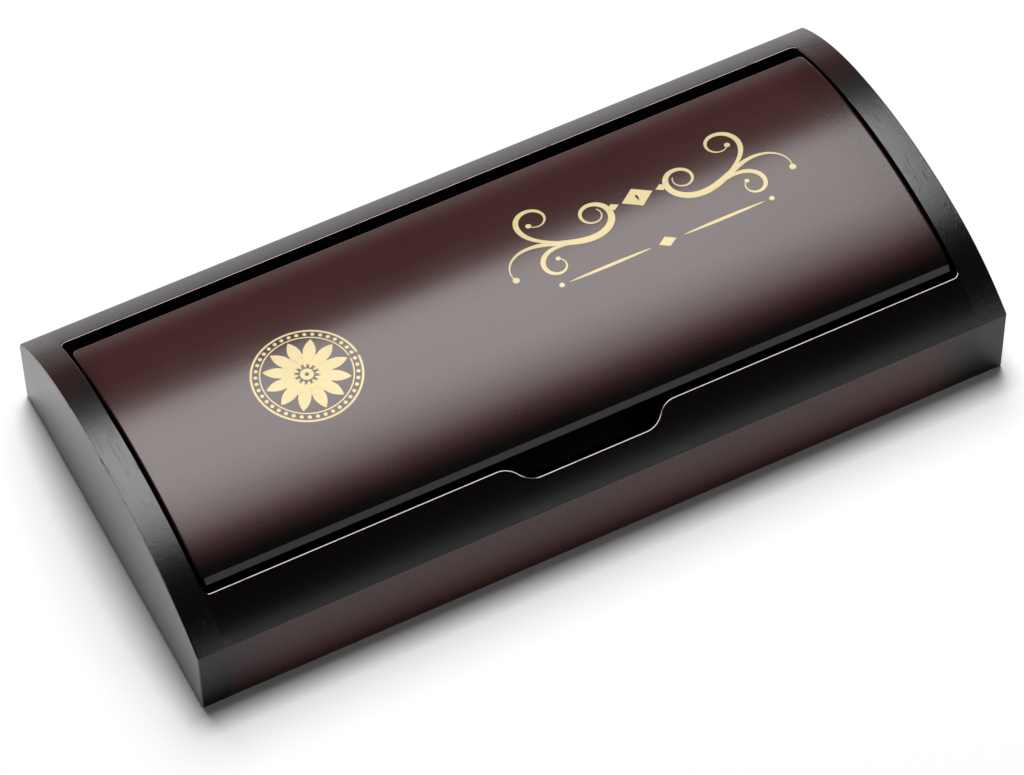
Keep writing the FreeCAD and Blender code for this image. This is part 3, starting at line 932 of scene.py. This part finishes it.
# Hinge pins and bushes
# Ground steel pins pressed into the end boards, and flanged brass bushes pushed into the
# lid's sides, dulled with age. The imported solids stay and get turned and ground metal.
pin_steel = metal("ground_steel", (0.50, 0.50, 0.51), 0.28, (5200, 600, 600))
aged_brass = metal("aged_brass", (0.30, 0.20, 0.09), 0.42, (4200, 900, 900))
for side in ("left", "right"):
    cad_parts[side + "_hinge_pin"].data.materials[0] = pin_steel
    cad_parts[side + "_hinge_bush"].data.materials[0] = aged_brass

# Lid panel
# A crowned hardwood panel with a flat bevel along the front and eased edges, hollowed
# underneath. It is sprayed red-brown and shaded to black along the front.
lid_low, lid_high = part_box("lid_panel")
lid_x, lid_front, lid_back, lid_bottom = lid_high.x, lid_low.y, lid_high.y, lid_low.z
nose_bevel = 0.0010
bevel_ease = 0.00010
lid_arris = 0.0004
lid_front_corner = 0.0007
lid_back_corner = 0.0013
lid_wall = 0.0050
rim_front, rim_side, rim_back = 0.0064, 0.0100, 0.0090
hollow_corner = 0.0030
bush_radius = 0.00175
bush_length = 0.0075


def eased(before, corner, after, radius, steps):
    """Points that round the corner of an outline."""
    corner = Vector(corner)
    first, last = (Vector(before) - corner).normalized(), (Vector(after) - corner).normalized()
    half = first.angle(last) / 2
    centre = corner + (first + last).normalized() * (radius / math.sin(half))
    start = (corner + first * (radius / math.tan(half)) - centre).normalized()
    end = (corner + last * (radius / math.tan(half)) - centre).normalized()
    return [tuple(centre + start.slerp(end, share) * radius)
            for share in evenly(0.0, 1.0, steps)]


def lid_section(x, inset):
    """One slice of the lid across its length, drawn in by inset near the ends."""
    def drawn_in(radius):
        past = max(0.0, abs(x) - (lid_x - radius)) / radius
        return radius * (1 - math.sqrt(max(0.0, 1 - past ** 2)))

    front = lid_front + drawn_in(lid_front_corner)
    back = lid_back - drawn_in(lid_back_corner)
    slope = crown_z(front + nose_bevel) - (front + nose_bevel) - inset * math.sqrt(2)
    meet = front + nose_bevel
    for _ in range(12):
        meet = crown_z(meet, inset) - slope
    upper = (meet, meet + slope)
    lower = (front, front + slope)
    ahead = (meet + 0.0004, crown_z(meet + 0.0004, inset))
    brim, brim_meet, brim_y = rounding(back, -1, lid_arris)
    section = [(front, lid_bottom)]
    section += eased((front, lid_bottom), lower, upper, bevel_ease, 3)
    section += eased(lower, upper, ahead, bevel_ease, 3)
    section += crown_run(meet + 0.0004, brim_y, 48, inset)
    section += arc_points(brim, max(0.00002, lid_arris - inset), brim_meet, 0.0, 4)
    section += [(back, lid_bottom)]
    return [(x, y, z) for y, z in section]


def lid_blank():
    ends = [(lid_x - lid_arris * (1 - math.sin(a)), lid_arris * (1 - math.cos(a)))
            for a in evenly(0.0, math.pi / 2, 6)]
    start = lid_x - lid_back_corner
    ends = [(x, 0.0) for x in evenly(start, ends[0][0], 5)[:-1]] + ends
    middle = [(x, 0.0) for x in evenly(-start, start, 24)[1:-1]]
    rows = [(-x, inset) for x, inset in reversed(ends)] + middle + ends
    return lofted("lid_wood", [lid_section(x, inset) for x, inset in rows])


def hollow_reach(x, half):
    """How far the rounded corners draw in the hollow's front and back at x."""
    past = max(0.0, abs(x) - (half - hollow_corner)) / hollow_corner
    return hollow_corner * (1 - math.sqrt(max(0.0, 1 - past ** 2)))


def hollow_cutter():
    """The hollow under the lid as a block with rounded upright corners and a crowned roof."""
    half = lid_x - rim_side
    low, high = lid_front + rim_front, lid_back - rim_back
    turn = [half - hollow_corner * (1 - math.sin(a)) for a in evenly(0.0, math.pi / 2, 8)]
    rows = []
    for x in [-t for t in reversed(turn)] + turn:
        front, back = low + hollow_reach(x, half), high - hollow_reach(x, half)
        roof = [(x, y, crown_z(y, lid_wall)) for y in evenly(front, back, 24)]
        rows.append([(x, front, lid_bottom - 2 * overcut)] + roof
                    + [(x, back, lid_bottom - 2 * overcut)])
    return lofted("lid_hollow", rows)


cutters = [hollow_cutter()]
for side in (-1, 1):
    cutters.append(round_bar(bush_radius, (side * (lid_x + overcut), pin_y, pin_z),
                             (side * (lid_x - bush_length), pin_y, pin_z)))
    cutters.append(round_bar(magnet_radius, (side * magnet_x, magnet_y, lid_bottom - overcut),
                             (side * magnet_x, magnet_y, lid_bottom + magnet_depth)))
lid = lid_blank()
lid.data.materials.append(lacquer(
    "lid_lacquer", [("Y", -0.0294, -0.0215, 0.01), ("X", 0.0815, 0.0700, 0.65),
                    ("X", -0.0815, -0.0760, 0.75), ("Z", 0.0150, 0.0205, 0.0)], "x", 0.20))
lid = cut_out(lid, cutters)
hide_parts("lid_panel")
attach(lid, "lid")

# Lid lining
# Black velvet over thin wadding on a card, glued into the roof of the lid's hollow.
# The wadding swells a little, and its edges are pulled in tight against the rim.
lining_play = 0.0003
lining_thickness = 0.0012
lining_swell = 0.0009
glue_gap = 0.00005
edge_depth = 0.0005
pucker_depth = 0.00012
swell_frames = 20


def lining_sheet():
    """The card's two faces, both following the crown, joined round the edge."""
    half = lid_x - rim_side - lining_play
    low = lid_front + rim_front + lining_play
    high = lid_back - rim_back - lining_play
    wide, deep = 84, 30
    points = []
    for below in (glue_gap, lining_thickness):
        for i, x in enumerate(evenly(-half, half, wide)):
            reach = hollow_reach(x, half)
            for j, y in enumerate(evenly(low + reach, high - reach, deep)):
                at_edge = i in (0, wide) or j in (0, deep)
                points.append((x, y, crown_z(y, lid_wall + (edge_depth if at_edge else below))))
    faces = [face for first in (0, len(points) // 2)
             for face in grid_faces(first, wide + 1, deep + 1)]
    return finished("lining_pad", mesh_of("lining_pad", points, faces), 2.5)


def swollen(pad, frames, most):
    """Lets air pressure swell the face that shows, and keeps the shape as plain mesh."""
    before = [v.co.copy() for v in pad.data.vertices]
    held = pad.vertex_groups.new(name="glued")
    for i, co in enumerate(before):
        if co.z > crown_z(co.y, lid_wall + lining_thickness - 0.0003):
            held.add([i], 1.0, "REPLACE")
    cloth = pad.modifiers.new("wadding", "CLOTH")
    cloth.settings.quality = 6
    cloth.settings.mass = 0.2
    cloth.settings.use_pressure = True
    cloth.settings.uniform_pressure_force = 4.0
    cloth.settings.effector_weights.gravity = 0.0
    cloth.settings.vertex_group_mass = "glued"
    cloth.collision_settings.use_collision = False
    for frame_number in range(1, frames + 1):
        bpy.context.scene.frame_set(frame_number)
    shape = pad.evaluated_get(bpy.context.evaluated_depsgraph_get())
    after = [v.co.copy() for v in shape.data.vertices]
    pad.modifiers.remove(cloth)
    bpy.context.scene.frame_set(1)
    for vertex, start, end in zip(pad.data.vertices, before, after):
        move = end - start
        if move.length > 1e-9:
            share = most * math.tanh(move.length / most) / move.length
            pucker = pucker_depth * noise.noise((start.x * 95, start.y * 95, 5.0))
            vertex.co = start + move * share + move.normalized() * pucker
    return pad


pad = lining_sheet()
pad.modifiers.remove(pad.modifiers["even shading"])
pad = swollen(pad, swell_frames, lining_swell)
smooth = pad.modifiers.new("smooth pad", "SUBSURF")
smooth.levels = smooth.render_levels = 1
pad.data.materials.append(black_velvet)
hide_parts("lid_lining")
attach(pad, "lid")

# Gold ornament
# A twelve-petalled rosette in a beaded ring on the left of the lid, and a pair of scrolls
# with a lozenge between them on the right, stamped in pale gold leaf that follows the crown.
leaf_height = 0.00003
leaf_depth = 0.00004
tip_half = 0.00002
stroke_end = 0.00011
quarters = evenly(-1.0, 1.0, 8)
gold_leaf = (0.59, 0.485, 0.255)
rosette_sizes = {"Petals": 12, "Small petals": 12, "Beads": 40, "Bead ring": 0.0099,
                 "Across": -0.0440, "Along": 0.0005, "Crown radius": crown_radius,
                 "Crown centre": crown_centre}


def gold_paint(name, colour):
    """Stamped gold: nearly even, a little broken up by the texture of the lacquer under it."""
    paint, tree, shader = painted(name)
    mottle = pattern(tree, (1500, 1500, 1500), 4.0)
    cloud = pattern(tree, (180, 180, 180))
    shade = maths(tree, "MULTIPLY", varied(tree, mottle, 0.95, 1.04),
                  varied(tree, cloud, 0.96, 1.04))
    fed(tree, shader, {"Base Color": shaded(tree, colour, shade),
                       "Roughness": varied(tree, mottle, 0.34, 0.46),
                       "Metallic": 0.15, "Normal": relief(tree, mottle, 0.3, 0.00001)})
    return paint


def leaf_shape(work, stations):
    """Adds a thin flat solid to work: stations are ((x, y), (sideways x, y), half width)."""
    corners = ((-1, -leaf_depth), (-1, leaf_height), (1, leaf_height), (1, -leaf_depth))
    rows = [[work.verts.new((x + side_x * half * across, y + side_y * half * across, z))
             for across, z in corners] for (x, y), (side_x, side_y), half in stations]
    for first, second in zip(rows, rows[1:]):
        for k in range(4):
            work.faces.new((first[k], first[(k + 1) % 4], second[(k + 1) % 4], second[k]))
    work.faces.new(rows[0])
    work.faces.new(list(reversed(rows[-1])))


def petal(work, start, end, half, lean=0.0):
    """A pointed petal that grows along +Y from start to end."""
    stations = []
    for share in evenly(0.0, 1.0, 18):
        swell = math.sin(math.pi * share ** (0.8 + lean)) ** 0.85 if 0 < share < 1 else 0.0
        stations.append(((0.0, start + (end - start) * share), (1.0, 0.0),
                         max(tip_half, half * swell)))
    leaf_shape(work, stations)


def ring(work, radius, half):
    leaf_shape(work, [((radius * math.cos(a), radius * math.sin(a)),
                       (math.cos(a), math.sin(a)), half) for a in evenly(0.0, 2 * math.pi, 96)])


def scroll(work, start, heading, length, curl_in, curl_out, widest, flip):
    """A tapering stroke whose bend changes evenly along it, so both its ends curl."""
    count = 110
    x, y, angle = start[0], start[1], heading
    stations = []
    for share in evenly(0.0, 1.0, count):
        half = stroke_end + (widest - stroke_end) * math.sin(math.pi * share) ** 1.6
        stations.append(((flip * x, y), (-flip * math.sin(angle), math.cos(angle)), half))
        bend = curl_in + (curl_out - curl_in) * share
        angle += bend * length / count
        x += math.cos(angle) * length / count
        y += math.sin(angle) * length / count
    leaf_shape(work, stations)
    return flip * x, y


def lozenge(work, x, y, half_x, half_y):
    leaf_shape(work, [((x + half_x * t, y), (0.0, 1.0), max(tip_half, half_y * (1 - abs(t))))
                      for t in quarters])


def bead(work, x, y, radius):
    leaf_shape(work, [((x + radius * math.sin(math.pi / 2 * t), y), (0.0, 1.0),
                       max(tip_half, radius * math.cos(math.pi / 2 * t))) for t in quarters])


def laid_on_crown(tree, shape, inputs):
    """Moves a flat shape to its place and bends it over the flat middle of the crown."""
    place = wired(tree, "GeometryNodeInputPosition").outputs[0]
    split = wired(tree, "ShaderNodeSeparateXYZ", {0: place}).outputs
    x = maths(tree, "ADD", split["X"], inputs["Across"])
    y = maths(tree, "ADD", split["Y"], inputs["Along"])
    radius = inputs["Crown radius"]
    drop = maths(tree, "SUBTRACT", maths(tree, "MULTIPLY", radius, radius),
                 maths(tree, "MULTIPLY", y, y))
    z = maths(tree, "ADD", maths(tree, "SQRT", drop), inputs["Crown centre"], split["Z"])
    return wired(tree, "GeometryNodeSetPosition",
                 {"Geometry": shape, "Position": vector(tree, x, y, z)}).outputs[0]


def spun(tree, shape, count, offset_share):
    """Copies of a shape, turned evenly about the origin."""
    index = wired(tree, "GeometryNodeInputIndex").outputs[0]
    step = maths(tree, "DIVIDE", 2 * math.pi, count)
    turn = maths(tree, "MULTIPLY", maths(tree, "ADD", index, offset_share), step)
    return copied(tree, shape, {"Count": count, "Offset": (0.0, 0.0, 0.0)},
                  vector(tree, z=turn))


gold = gold_paint("pale_gold", gold_leaf)
rosette_tree, rosette_in, rosette_out = new_tree("rosette", rosette_sizes)
patterns = {
    "small_petal": lambda work: petal(work, 0.0016, 0.0052, 0.00042),
    "bead": lambda work: bead(work, 0.0, 0.0, 0.00040),
    "rings": lambda work: [ring(work, 0.0108, 0.00022), ring(work, 0.0091, 0.00014),
                           ring(work, 0.0009, 0.00045)]}
helpers = [bpy.data.objects.new(label, drawn_mesh(label, draw))
           for label, draw in patterns.items()]
small_petal, one_bead, rings = [
    wired(rosette_tree, "GeometryNodeObjectInfo", {"Object": helper}).outputs["Geometry"]
    for helper in helpers]
one_bead = wired(rosette_tree, "GeometryNodeTransform", {
    "Geometry": one_bead,
    "Translation": vector(rosette_tree, y=rosette_in["Bead ring"])}).outputs[0]
whole = wired(rosette_tree, "GeometryNodeJoinGeometry")
for part in (spun(rosette_tree, rosette_in["Shape"], rosette_in["Petals"], 0.0),
             spun(rosette_tree, small_petal, rosette_in["Small petals"], 0.5),
             spun(rosette_tree, one_bead, rosette_in["Beads"], 0.5), rings):
    rosette_tree.links.new(part, whole.inputs[0])
coated(rosette_tree, laid_on_crown(rosette_tree, whole.outputs[0], rosette_in), gold,
       rosette_out)
rosette = grown("gold_rosette", rosette_tree, rosette_sizes,
                drawn_mesh("petal", lambda work: petal(work, 0.0022, 0.0086, 0.00125, 0.3)))
for helper in helpers:
    bpy.data.objects.remove(helper)


def draw_scrolls(work):
    """Two mirrored S scrolls with smaller curls, a lozenge between them and a rule below."""
    for flip in (-1, 1):
        for start, heading, length, curl_in, curl_out, widest, dot in (
                ((0.0085, 0.0012), -2.40, 0.0480, 560.0, -280.0, 0.00075, 0.00070),
                ((0.0135, -0.0058), 0.30, 0.0215, 60.0, -620.0, 0.00050, 0.00050),
                ((0.0150, -0.0050), 0.55, 0.0290, -60.0, 520.0, 0.00055, 0.00060)):
            end = scroll(work, start, heading, length, curl_in, curl_out, widest, flip)
            bead(work, end[0], end[1], dot)
        lozenge(work, flip * 0.0054, 0.0, 0.0013, 0.00090)
        leaf_shape(work, [((flip * (0.0036 + 0.0180 * t), -0.0128), (0.0, 1.0),
                           0.00004 + 0.00030 * math.sin(math.pi * t) ** 0.7)
                          for t in evenly(0.0, 1.0, 16)])
        bead(work, flip * 0.0232, -0.0128, 0.00055)
    lozenge(work, 0.0, 0.0, 0.0034, 0.0026)
    lozenge(work, 0.0, -0.0128, 0.0019, 0.00125)


scroll_sizes = dict(rosette_sizes, Across=0.0325, Along=0.0098)
scroll_tree, scroll_in, scroll_out = new_tree("scrolls", scroll_sizes)
coated(scroll_tree, laid_on_crown(scroll_tree, scroll_in["Shape"], scroll_in), gold,
       scroll_out)
scrolls = grown("gold_scrolls", scroll_tree, scroll_sizes, drawn_mesh("strokes", draw_scrolls))
for piece in (rosette, scrolls):
    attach(piece, "lid")
